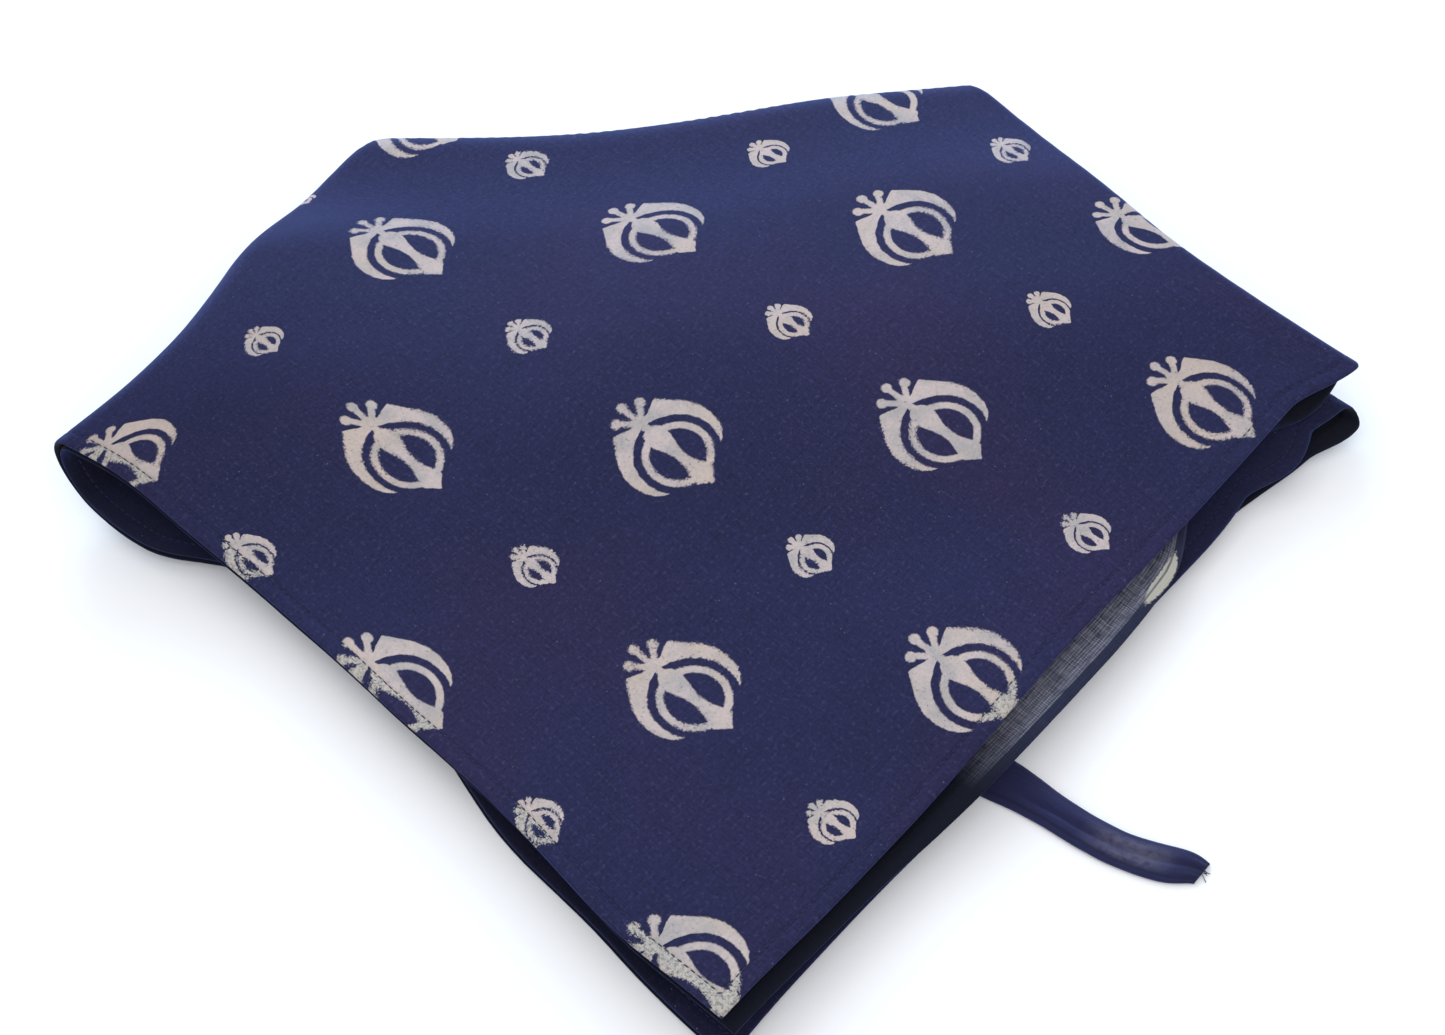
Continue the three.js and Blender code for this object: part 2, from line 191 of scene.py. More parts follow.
class Finish:
    """A material under construction, with one method that adds any node."""

    def __init__(self, name):
        self.material = bpy.data.materials.new(name)
        self.material.use_nodes = True
        self.tree = self.material.node_tree
        self.tree.nodes.clear()
        self.flat = self.node("ShaderNodeUVMap", {"uv_map": "flat_cloth"})

    def node(self, kind, settings=None, inputs=None, output=0):
        node = self.tree.nodes.new(kind)
        for key, value in (settings or {}).items():
            if key == "stops":
                self.set_stops(node.color_ramp, value)
            else:
                setattr(node, key, value)
        for key, value in (inputs or {}).items():
            if isinstance(value, Value):
                self.tree.links.new(value.socket, node.inputs[key])
            else:
                node.inputs[key].default_value = value
        return Value(self, node.outputs[output]) if node.outputs else None

    @staticmethod
    def set_stops(ramp, stops):
        while len(ramp.elements) < len(stops):
            ramp.elements.new(1.0)
        for element, (place, value) in zip(ramp.elements, stops):
            element.position = place
            element.color = (value, value, value, 1)

    def length(self, x, y):
        joined = self.node("ShaderNodeCombineXYZ", {}, {0: x, 1: y})
        return self.node("ShaderNodeVectorMath", {"operation": "LENGTH"}, {0: joined}, output="Value")

    def noise(self, scale, detail=2.0, roughness=0.5, stretch=(1, 1, 1), offset=(0, 0, 0)):
        """Soft noise on the flat cloth, from 0 to 1. The scale is in waves per metre."""
        place = self.node("ShaderNodeMapping", {}, {"Vector": self.flat, "Scale": stretch, "Location": offset})
        inputs = {"Vector": place, "Scale": scale, "Detail": detail, "Roughness": roughness}
        return self.node("ShaderNodeTexNoise", {"noise_dimensions": "2D"}, inputs)

    def split(self, vector):
        """The x and y of a vector, as two values."""
        x = self.node("ShaderNodeSeparateXYZ", {}, {0: vector})
        return x, Value(self, x.socket.node.outputs["Y"])

    def scaled(self, colour, amount):
        """A colour made darker or lighter."""
        return self.node("ShaderNodeVectorMath", {"operation": "SCALE"}, {0: colour, "Scale": amount})

    def streaks(self, scale, detail, roughness, stretch):
        """Noise drawn out along both sets of threads."""
        lengthwise = self.noise(scale, detail, roughness, stretch=(1, stretch, 1))
        return lengthwise * 0.5 + self.noise(scale, detail, roughness, stretch=(stretch, 1, 1)) * 0.5

    def mix(self, amount, first, second):
        """One colour over another."""
        inputs = {"Factor": amount, 6: first, 7: second}
        return self.node("ShaderNodeMix", {"data_type": "RGBA"}, inputs, output=2)

    def finish(self, inputs, bump=None, bump_depth=0.0):
        """The surface shader, with an optional bump whose height scale is in metres."""
        if bump is not None:
            inputs["Normal"] = self.node("ShaderNodeBump", {}, {"Height": bump, "Distance": bump_depth})
        surface = self.node("ShaderNodeBsdfPrincipled", {}, inputs)
        self.node("ShaderNodeOutputMaterial", {}, {"Surface": surface})
        return self.material


print("shader helper ready")

# %% [markdown]
# ## The cloth's shape
# A piece of cloth is easiest to describe flat. Every point of the square gets two flat coordinates, s and
# t, from the middle of the cloth, and one function says where that point goes when the cloth is folded:
# over the first fold, over the second, and round the last bend, where the back corner is turned under. A
# cloth simulation could fold it too, but it wouldn't land on the photograph's outlines. The solid is made
# by the same function. One row differs: here the second layer is drawn in a little further near the right
# corner, and the layers have waves. Most heights and amounts in the tables below weren't chosen by hand. A
# least-squares program fitted them to the photograph's prints and outlines, and they were then rounded, and
# some were changed by eye.

# %% Sizes of the folded cloth, in millimetres
SIDE = 700
HALF = SIDE / 2
SOLID_WALL = 1.0
SOLID_HEM_WALL = 1.6
LAYER_GAP = 0.6
STACK = 8
LOOP_SHARE_LEFT = 0.14
LOOP_SHARE_RIGHT = 0.36
LOOP_OPENS = 0.08
LOOP_OPENS_PLACE = (1.0, 0.0, 0.5, 0.22)
FIRST_DRIFT, FIRST_DRIFT_FROM = 17, 0.5
SECOND_DRIFT, SECOND_DRIFT_FROM = 21.5, 0.45
RIDGE_S, RIDGE_T, RIDGE_RADIUS = 162, 182, 1.8
STEP_DOWN_FROM, STEP_DOWN_TO = 100, 210
BOW_DEPTH = 8
BOW_PLACE = (0.19, 0.33, 0.3, 0.3)
TURN = math.radians(-41.5)
SLIP_SECOND, SLIP_THIRD, SLIP_BOTTOM = 5, 8.5, 6
RISE_START, RISE_FULL = 5, 60
TO_RIDGE = 1 / math.hypot(1 / RIDGE_S, 1 / RIDGE_T)

# Soft rises of the stack: place s, t and reach s, t as shares of the half side, and height
RISES = [
    ((0.55, 0.5, 0.5, 0.5), 8.2),
    ((0.0, 0.95, 0.45, 0.5), 16.8),
    ((0.95, 0.0, 0.5, 0.45), 9.6),
    ((0.95, 0.5, 0.45, 0.45), 4.9),
    ((0.5, 0.95, 0.45, 0.45), 6.4),
    ((0.05, 0.65, 0.35, 0.35), 5.2),
    ((0.65, 0.05, 0.35, 0.35), 3.7),
    ((1.0, 1.0, 0.4, 0.4), 8.0),
]
# Where the folded cloth is drawn in or out in plan: place and reach, then millimetres along s and t
PULLS = [
    ((0.0, 1.0, 0.35, 0.5), 26.5, 0.7),
    ((0.3, 1.0, 0.3, 0.3), -12.4, -11.2),
    ((0.6, 1.0, 0.3, 0.3), -3.7, -6.1),
    ((0.48, 1.0, 0.2, 0.25), 0.5, -3.5),
    ((0.67, 1.0, 0.24, 0.2), 0.0, -4.5),
    ((1.0, 1.0, 0.45, 0.45), -4.1, -3.5),
    ((1.0, 0.5, 0.3, 0.4), -6.3, -3.3),
    ((1.0, 0.15, 0.3, 0.25), -0.6, -0.8),
    ((0.75, 0.0, 0.35, 0.25), 0.8, 11.8),
    ((0.45, 0.0, 0.3, 0.3), -5.6, -4.3),
    ((0.0, 0.6, 0.25, 0.3), 5.3, 2.9),
    ((0.0, 0.84, 0.3, 0.22), 7.0, 0.0),
    ((0.0, 0.5, 0.22, 0.22), 1.5, 4.5),
    ((1.0, 0.05, 0.25, 0.1), 9.0, -4.5),
    ((1.0, 0.0, 0.3, 0.22), 0.0, 8.5),
]
# How single layers lie aside from the top one: place and reach, millimetres along s and t, and the layers
SECOND_LAYER = "second"
THIRD_LAYER = "third"
BOTTOM_LAYER = "bottom"
LOWER_LAYERS = "lower"
SHIFTS = [
    ((1.0, 0.5, 0.5, 0.36), 7.0, 0.0, SECOND_LAYER),
    ((1.0, 0.13, 0.4, 0.18), -18.0, 0.0, SECOND_LAYER),
    ((1.0, 0.05, 0.5, 0.2), -3.0, 0.0, THIRD_LAYER),
    ((1.0, 0.12, 0.4, 0.17), 7.5, 0.0, BOTTOM_LAYER),
    ((1.0, 0.0, 0.5, 0.2), -2.0, 9.0, LOWER_LAYERS),
    ((0.4, 1.0, 0.33, 0.36), 0.0, -13.0, LOWER_LAYERS),
    ((0.67, 1.0, 0.24, 0.3), 0.0, 4.5, LOWER_LAYERS),
    ((1.0, 1.0, 0.2, 0.3), 0.0, 4.5, LOWER_LAYERS),
    ((1.0, 0.84, 0.3, 0.27), -4.0, 0.0, LOWER_LAYERS),
]
TIE_WIDTH, TIE_HEIGHT, TIE_VISIBLE, TIE_HIDDEN, TIE_PLACE = 14, 3.2, 70, 36, 218.75
TIE_CLEARANCE = 0.3
TIE_LIFT_REACH, TIE_LIFT_BEFORE, TIE_LIFT_GROWTH, TIE_LIFT_HEIGHT = 3, 2.2, 1.2, 1.7
LONG_WAVE_HEIGHT, SHORT_WAVE_HEIGHT = 0.5, 0.18
SETTLE_HEIGHT = 4
print("folded side", HALF, "mm")


# %% Small shapes of the fold
def smooth(x):
    x = np.clip(x, 0, 1)
    return x * x * (3 - 2 * x)


def bump(u, v, place):
    """A soft round bump, 1 at its top and 0 past its reach."""
    q = ((u / HALF - place[0]) / place[2]) ** 2 + ((v / HALF - place[1]) / place[3]) ** 2
    return np.where(q < 1, (1 - q) ** 2, 0)


def from_ridge(u, v):
    return (u / RIDGE_S + v / RIDGE_T - 1) * TO_RIDGE


def calm_at(u, v):
    """0 on the ridge, where the stack lies flattest, and 1 where it can rise freely."""
    return smooth((from_ridge(u, v) - RISE_START) / RISE_FULL)


def fold(distance, radius, outer_radius):
    """Round a half circle: the distance from the fold line and the side, from -1 to 1."""
    arc = outer_radius * math.pi / 2
    past = np.abs(distance) >= arc
    angle = np.clip(distance, -arc, arc) / outer_radius
    out = np.where(past, np.abs(distance) - arc, -radius * np.cos(angle))
    return out, np.where(past, np.sign(distance), np.sin(angle))


# %% The stack of four layers
def tie_lift(u, v):
    """How far the cloth is lifted by the strap's sewn end."""
    across = 1 - np.abs(v - TIE_PLACE) / (TIE_LIFT_REACH * TIE_WIDTH)
    along = (u - HALF + TIE_LIFT_BEFORE * TIE_HIDDEN) / (TIE_LIFT_GROWTH * TIE_HIDDEN)
    return TIE_LIFT_HEIGHT * (TIE_HEIGHT * 0.5 + TIE_CLEARANCE) * np.maximum(across, 0) * smooth(along)


def ripples(u, v):
    """Faint soft waves of the real cloth, the same in all four layers so that they stay apart."""
    long_waves = LONG_WAVE_HEIGHT * np.sin(u / 31 + 1.3 * np.sin(v / 57)) * np.sin(v / 43 + 0.7)
    short_waves = SHORT_WAVE_HEIGHT * np.sin(u / 11.5 + 2.1 * np.sin(v / 37))
    short_waves = short_waves * np.sin(v / 17 + 1.9 * np.sin(u / 61))
    return (long_waves + short_waves) * calm_at(u, v)


def settled(height, waves):
    """The waves fade out near the table, so that the bottom layer doesn't dip into it."""
    return height + waves * smooth(height / SETTLE_HEIGHT)


def stack_point(s, t):
    u, v = np.abs(s), np.abs(t)
    stack = STACK + sum(height * bump(u, v, place) for place, height in RISES) * calm_at(u, v)
    share = LOOP_SHARE_LEFT + (LOOP_SHARE_RIGHT - LOOP_SHARE_LEFT) * smooth((u - v) / HALF * 0.5 + 0.5)
    share = share + LOOP_OPENS * bump(u, v, LOOP_OPENS_PLACE)
    pair = np.maximum(share * stack, 2 * SOLID_HEM_WALL - SOLID_WALL + LAYER_GAP) / 2
    nest = stack / 2 - pair
    first_drift = FIRST_DRIFT * smooth((u / HALF - FIRST_DRIFT_FROM) / (1 - FIRST_DRIFT_FROM))
    second_drift = SECOND_DRIFT * smooth((v / HALF - SECOND_DRIFT_FROM) / (1 - SECOND_DRIFT_FROM))
    first_out, first_side = fold(t - first_drift, pair, pair)
    radius = nest + first_side * pair
    second_out, second_side = fold(s - second_drift, radius, nest + pair)
    inner = (1 - first_side) / 2
    lower = (1 - second_side) / 2
    slip = SLIP_SECOND * inner * (1 - lower) + SLIP_THIRD * inner * lower + SLIP_BOTTOM * (1 - inner) * lower
    across = second_out + second_drift + (slip - 2 * second_drift * lower) * smooth(u / HALF)
    along = first_out + first_drift - 2 * first_drift * inner * smooth(v / HALF)
    for place, along_s, along_t in PULLS:
        pull = bump(u, v, place)
        across = across + along_s * pull
        along = along + along_t * pull
    layer_shares = {SECOND_LAYER: inner * (1 - lower), THIRD_LAYER: inner * lower,
                    BOTTOM_LAYER: (1 - inner) * lower, LOWER_LAYERS: lower}
    for place, along_s, along_t, layers in SHIFTS:
        share_here = bump(u, v, place) * layer_shares[layers]
        across = across + along_s * share_here
        along = along + along_t * share_here
    height = nest + pair + second_side * radius + tie_lift(u, v)
    return np.stack([across, along, settled(height, ripples(u, v))], axis=-1)


# %% The last bend, and the way into the part's frame
def turn_under(p):
    """The back corner turned under along the ridge, and the stack lifted over it."""
    across, along, height = p[..., 0], p[..., 1], p[..., 2]
    ridge_base = 2 * RIDGE_RADIUS + STACK + SOLID_WALL / 2
    outer_radius = RIDGE_RADIUS + STACK
    distance = from_ridge(across, along)
    down = smooth((STEP_DOWN_TO - distance) / (STEP_DOWN_TO - STEP_DOWN_FROM))
    z_front = height + SOLID_WALL / 2 + (ridge_base - SOLID_WALL / 2) * down
    radius = RIDGE_RADIUS + height
    angle = np.clip(-distance / outer_radius, 0, math.pi)
    bent = np.where(angle < math.pi, -radius * np.sin(angle), -distance - math.pi * outer_radius)
    turned = np.where(distance > 0, distance, bent)
    z = np.where(distance > 0, z_front, ridge_base - RIDGE_RADIUS + radius * np.cos(angle))
    moved = (turned - distance) * TO_RIDGE
    s = across + moved / RIDGE_S
    t = along + moved / RIDGE_T
    bow = BOW_DEPTH * bump(s, t, BOW_PLACE) * math.sqrt(0.5)
    return np.stack([s + bow, t + bow, z], axis=-1)


def to_frame(p):
    c, k = math.cos(TURN), math.sin(TURN)
    return np.stack([p[..., 0] * c + p[..., 1] * k, p[..., 0] * k - p[..., 1] * c, p[..., 2]], axis=-1)


def cloth_point(s, t, offset):
    """The point that lies a distance off the middle of the wall, in millimetres before the last shift."""
    probe = 0.02
    along_s = stack_point(s + probe, t) - stack_point(s - probe, t)
    along_t = stack_point(s, t + probe) - stack_point(s, t - probe)
    normal = np.cross(along_s, along_t)
    normal = normal / np.linalg.norm(normal, axis=-1, keepdims=True)
    return to_frame(turn_under(stack_point(s, t) + normal * np.asarray(offset)[..., None]))


# %% [markdown]
# ## The cloth as a mesh
# The grid is fine where the eye can follow it, on the top layer, in the folds and along the hems, and
# coarser on the layers that lie inside. The hem is a band where the edge is turned twice, so its wall is
# thicker, its outer edge is round, and the stitches pull a shallow groove.

# %% Grid lines of the flat cloth
HEM_WIDTH = 6.5
HEM_LINES = [0, 0.35, 0.9, 1.8, 3.2, 4.4, 5.0, 5.5, 6.0, 6.6, 7.3, 9.0]
HIDDEN_STEP, INNER_STEP, TOP_STEP = 7.5, 4.2, 3.4


def span(start, end, step):
    count = max(1, round(abs(end - start) / step))
    return [start + (end - start) * n / count for n in range(count)]


def grid_lines(fold_start, fold_end, fold_step, ridge_end):
    """Lines from one hem to the other: coarse on the hidden side, fine in the fold and on the top side."""
    low = [-HALF + x for x in HEM_LINES]
    high = [HALF - x for x in reversed(HEM_LINES)]
    hidden = span(low[-1], -ridge_end, HIDDEN_STEP)[1:] + span(-ridge_end, fold_start, INNER_STEP)
    folded = span(fold_start, fold_end, fold_step)
    return np.array(low + hidden + folded + span(fold_end, high[0], TOP_STEP) + high)


# Where each fold starts and ends on the flat cloth, and how far apart its lines are
SECOND_FOLD_LINES = (-24, 46, 1.8)
FIRST_FOLD_LINES = (-12, 30, 1.4)
s_lines = grid_lines(*SECOND_FOLD_LINES, RIDGE_S)
t_lines = grid_lines(*FIRST_FOLD_LINES, RIDGE_T)
S, T = np.meshgrid(s_lines, t_lines, indexing="ij")
print("grid of", S.shape, "flat points")

# %% Wall thickness, hem and stitch groove
WALL = 0.6
HEM_WALL = 1.35
EDGE_ROUND, EDGE_REACH = 0.5, 0.9
GROOVE_PLACE = 5.5
GROOVE_DEPTH, GROOVE_REACH = 0.28, 0.55
HEM_STEP_START, HEM_STEP_LENGTH = HEM_WIDTH + 0.6, 0.8
PUCKER_DEPTH = 0.12

to_hem = HALF - np.maximum(np.abs(S), np.abs(T))
round_edge = EDGE_ROUND * np.clip(1 - to_hem / EDGE_REACH, 0, 1) ** 2
groove = GROOVE_DEPTH * np.exp(-(((to_hem - GROOVE_PLACE) / GROOVE_REACH) ** 2))
wall = WALL + (HEM_WALL - WALL) * smooth((HEM_STEP_START - to_hem) / HEM_STEP_LENGTH)
pucker = PUCKER_DEPTH * np.sin((S + T) / 2.3 + 2 * np.sin((S - T) / 13))
pucker = pucker * smooth((HEM_WIDTH + 3 - to_hem) / 4)
printed_offset = SOLID_WALL / 2 - round_edge - groove + np.minimum(pucker, 0)
wrong_offset = SOLID_WALL / 2 - wall + round_edge + 0.4 * groove
shown = cloth_point(S, T, printed_offset)
hidden = cloth_point(S, T, wrong_offset)

# The CAD model's origin is under the middle of its box, and the same shift brings this cloth there
shift = np.array([-21.667, 292.175, 0.0])
print("cloth's box", (shown.min((0, 1)) + shift).round(1), (shown.max((0, 1)) + shift).round(1))

# %% [markdown]
# ## Where the blocks were set
# The printer set each block by hand, so the emblems stand a few millimetres off the even grid. The table
# shifts the ones that show. Most of its values come from a program that laid the prints of a render over
# those of the photograph, so they also make up for errors of the modelled fold. Near an emblem the shift is
# even, so its form is hardly bent. Two emblems at the ridge are moved further, because the slope there
# shows less cloth than the real one does.

# %% Grid of the print on the flat cloth
PITCH = 65.0
FIRST_COLUMN = 1.0
FIRST_ROW = 5.2
BLOCK_REACH = 17.0
# Column, row, and shift along s and t in millimetres
BLOCKS = np.array([
    (0, 0, 4, 6), (1, 0, 3, 5), (2, 0, 1, 5.5), (3, 0, 4, 6), (4, 0, 6.5, 8),
    (0, 1, -1.5, 1), (1, 1, 2, -1.5), (2, 1, 2.5, -1), (3, 1, 2.5, 0), (4, 1, 6, 5.5),
    (0, 2, 0, -1.5), (1, 2, 1, -1), (2, 2, 4.5, 1), (3, 2, 2.5, -0.5), (4, 2, 7, 4.5),
    (0, 3, -6, -3), (1, 3, -4, -4.5), (2, 3, 2, 0), (3, 3, 1.5, -1), (4, 3, 3.5, -2),
    (1, 4, -2, 1), (2, 4, 3.5, 2.5), (3, 4, 3, 0), (4, 4, 1, -5.5),
    (1, 5, 15, 22), (2, 5, 9.5, 6.5), (-1, 3, 12.5, 6.5),
])


def block_shift(s, t, which):
    """The blocks' shift at a flat place, blended between the nearest ones."""
    centre_s = (BLOCKS[:, 0] + FIRST_COLUMN) * PITCH + BLOCKS[:, 2]
    centre_t = (FIRST_ROW - BLOCKS[:, 1]) * PITCH + BLOCKS[:, 3]
    apart = (s[..., None] - centre_s) ** 2 + (t[..., None] - centre_t) ** 2
    weight = np.exp(-apart / (2 * BLOCK_REACH ** 2)) + 1e-9 / (1 + apart)
    return (weight * BLOCKS[:, which]).sum(-1) / (weight.sum(-1) + 1e-6)


def printed_places(s, t):
    """Column and row of the print's grid at a flat place, with the blocks' shifts."""
    column = (s - block_shift(s, t, 2)) / PITCH - FIRST_COLUMN
    return np.stack([column, FIRST_ROW - (t - block_shift(s, t, 3)) / PITCH], axis=-1)


print(len(BLOCKS), "blocks with a shift of their own")

# %% One closed mesh with a printed and a wrong side
rows, columns = S.shape
vertices = (np.concatenate([shown.reshape(-1, 3), hidden.reshape(-1, 3)]) + shift) * MM
corner = np.arange(rows * columns).reshape(rows, columns)
a, b, c, d = corner[:-1, :-1], corner[1:, :-1], corner[1:, 1:], corner[:-1, 1:]
printed_faces = np.stack([a, b, c, d], axis=-1).reshape(-1, 4)
wrong_faces = np.stack([a, d, c, b], axis=-1).reshape(-1, 4) + rows * columns
rim = np.concatenate([corner[:-1, 0], corner[-1, :-1], corner[:0:-1, -1], corner[0, :0:-1]])
following = np.roll(rim, -1)
rim_faces = np.stack([following, rim, rim + rows * columns, following + rows * columns], axis=-1)
faces = np.concatenate([printed_faces, wrong_faces, rim_faces])

cloth_mesh = bpy.data.meshes.new("rumal_cloth")
cloth_mesh.from_pydata(vertices.tolist(), [], faces.tolist())
flat_places = np.stack([np.tile(S.ravel(), 2), np.tile(T.ravel(), 2)], axis=-1) * MM
flat_map(cloth_mesh, "flat_cloth", flat_places)
flat_map(cloth_mesh, "print_grid", np.tile(printed_places(S, T).reshape(-1, 2), (2, 1)))
sides = np.zeros(len(faces), dtype=np.int32)
sides[len(printed_faces):len(printed_faces) + len(wrong_faces)] = 1
cloth_mesh.polygons.foreach_set("material_index", sides)
smooth_faces(cloth_mesh)
cloth = placed("rumal_cloth", cloth_mesh)
print(len(faces), "faces in the cloth")

# %% [markdown]
# ## The print
# The cloth is block printed with one large emblem and one small one, in turn, on a square grid of 65 mm.
# The emblem is drawn with formulas, so that it stays sharp at any distance. It is symmetrical, so only one
# half is described: the widths of the sword and of the curved blade are read from curves along its axis,
# and the ring, hub and prongs are circles and bars. Each formula gives the distance past an edge, the
# smallest of them wins, and the small emblem is the same with all edges moved out a little, as ink spreads
# on a small block.

# %% The emblem's curves, in millimetres along and across its axis
SMALL_SCALE = 0.42
REACH = 24.0
BELOW = 4.0
BLADE_OUTER = [
    (-15.6, -4.0), (-15.5, 10.3), (-11, 13.8), (-6.8, 17.0), (-2, 19.0), (2.8, 19.3), (7.2, 18.4), (10.2, 16.8),
    (12.2, 14.6), (13.0, 13.0), (13.1, -4.0),
]
BLADE_INNER = [
    (-16.4, 12.0), (-15.5, 10.3), (-14.6, 7.4), (-13.3, 4.3), (-12.9, 0.0), (-10.7, 0.0), (-10.5, 1.6),
    (-9.3, 5.4), (-6.6, 9.9), (-3.2, 13.1), (1, 15.0), (5.3, 15.5), (9, 15.0), (11.4, 14.1), (13.0, 13.0),
]
SWORD = [
    (-11.2, -4.0), (-11, 1.3), (-9.1, 1.5), (-8.2, 2.9), (-6.8, 3.9), (-5, 4.5), (-3.5, 4.3), (-1.7, 3.8),
    (0.5, 3.0), (2.5, 2.3), (5, 1.85), (7, 1.8), (9, 2.0), (11, 2.5), (13, 3.2), (15, 4.0), (16.2, 4.6),
    (17.7, 4.2), (19.5, 2.1), (21.7, 0.0), (22.0, -4.0),
]
print("emblem of", len(BLADE_OUTER) + len(BLADE_INNER) + len(SWORD), "curve points")


def across_at(finish, x, points):
    """Reads a half width from a curve at the place x along the axis. A ramp holds no value under 0."""
    place = (x / (2 * REACH) + 0.5).clamped()
    stops = [((px + REACH) / (2 * REACH), (py + BELOW) / (REACH + BELOW)) for px, py in points]
    return finish.node("ShaderNodeValToRGB", {"stops": stops}, {"Fac": place}) * (REACH + BELOW) - BELOW


def emblem_distance(finish, x, y):
    """Distance past the edge of the emblem, negative inside it."""
    y = abs(y)
    blade = (across_at(finish, x, BLADE_INNER) - y).most(y - across_at(finish, x, BLADE_OUTER))
    sword = y - across_at(finish, x, SWORD)
    ring = abs(finish.length(x - 5.2, y * 0.97) - 10.95) - 1.25
    hub = finish.length(x + 12.9, y) - 2.8
    middle_ball = finish.length(x + 20.9, y) - 1.9
    outer_ball = finish.length(x + 18.0, y - 5.9) - 1.9
    middle_prong = (y - 1.1).most(abs(x + 16.7) - 4.0)
    along = (x + 13.2) * -0.765 + (y - 1.5) * 0.643
    beside = (x + 13.2) * 0.643 + (y - 1.5) * 0.765
    outer_prong = (abs(beside) - 1.15).most(abs(along - 2.9) - 2.9)
    nearest = blade.least(sword)
    for form in (ring, hub, middle_ball, outer_ball, middle_prong, outer_prong):
        nearest = nearest.least(form)
    return nearest


# %% [markdown]
# ## The printed side
# The navy dye is uneven, with purple clouds. The print is a warm light grey that sits on the threads: its
# edges are ragged where the block was poorly inked, tiny gaps show the navy, and on the hem, where the
# block met an uneven layer, it is broken and creamier. A fine plain weave, a few thicker threads and specks
# of lint finish it.

# %% Weave, shared by all the cotton
FINE_WEAVE, WORN_WEAVE = 0.42, 1.0
WEAVE_BUMP = 0.00022


def plain_weave(finish, along, across, pitch):
    """Height of a plain weave, 0 to 1: two sets of threads that pass over each other in turn."""
    warp = (along * (math.pi / pitch)).maths("SINE")
    weft = (across * (math.pi / pitch)).maths("SINE")
    over = abs(warp * weft)
    return over.maths("POWER", 0.5)


# %% Places on the flat cloth that the materials use
TOP_LAYER_FROM, RIGHT_HEM_FROM, RIGHT_HEM_STRIP_FROM, BLEND = -26.0, 318.0, 296.0, 8.0


class FlatPlace:
    """Flat coordinates in millimetres, the distance to the edge, and which layer a point is on."""

    def __init__(self, finish):
        s, t = finish.split(finish.flat)
        self.s = s * 1000.0
        self.t = t * 1000.0
        self.edge = HALF - abs(self.s).most(abs(self.t))
        self.top_layer = self.s.ramp(TOP_LAYER_FROM, BLEND) * self.t.ramp(TOP_LAYER_FROM, BLEND)
        self.near_right_hem = abs(self.s).ramp(RIGHT_HEM_FROM, BLEND)


# %% Printed cotton
def emblem_mask(finish, place, hem):
    """1 on the print, 0 off it, with the ragged and broken edges of a hand-set block."""
    column, row = finish.split(finish.node("ShaderNodeUVMap", {"uv_map": "print_grid"}))
    nearest_column = column.maths("ROUND")
    nearest_row = row.maths("ROUND")
    odd = (nearest_column + nearest_row).maths("FLOORED_MODULO", 2.0)
    scale = 1.0 - odd * (1.0 - SMALL_SCALE)
    wobble = finish.noise(260, 2.0, 0.6) - 0.5
    x = (column - nearest_column) * PITCH / scale + wobble * 0.5
    y = (row - nearest_row) * PITCH / scale + wobble * 0.5 - 0.3
    poor = ((finish.noise(34, 2.0, 0.5, offset=(2, 9, 0)) - 0.46) * 7.0).clamped()
    ragged = (finish.noise(1300, 3.0, 0.75) - 0.5) * (1.0 + poor * 2.2 + hem * 2.5)
    distance = emblem_distance(finish, x, y) - odd * 0.75 + ragged / scale
    mask = (0.5 - distance / 0.5).clamped()
    near_edge = distance.ramp(-1.6, 1.4)
    bare_threads = finish.noise(950, 3.0, 0.75, offset=(5, 1, 0)) - 0.66
    gaps = ((bare_threads + near_edge * poor * 0.13) / 0.03).clamped() * 0.6
    hem_gaps = finish.noise(900, 4.0, 0.8, offset=(3, 5, 0)).ramp(0.47, 0.2) * hem * 0.75
    # Painted shade: on the lower layers the print is faded out by 0.85, and fully near the right hem's strip.
    lower_layer = 1.0 - place.top_layer
    hidden = 0.85 + abs(place.s).ramp(RIGHT_HEM_STRIP_FROM, BLEND) * 0.15
    return mask * (1.0 - gaps.most(hem_gaps)) * (1.0 - lower_layer * hidden)


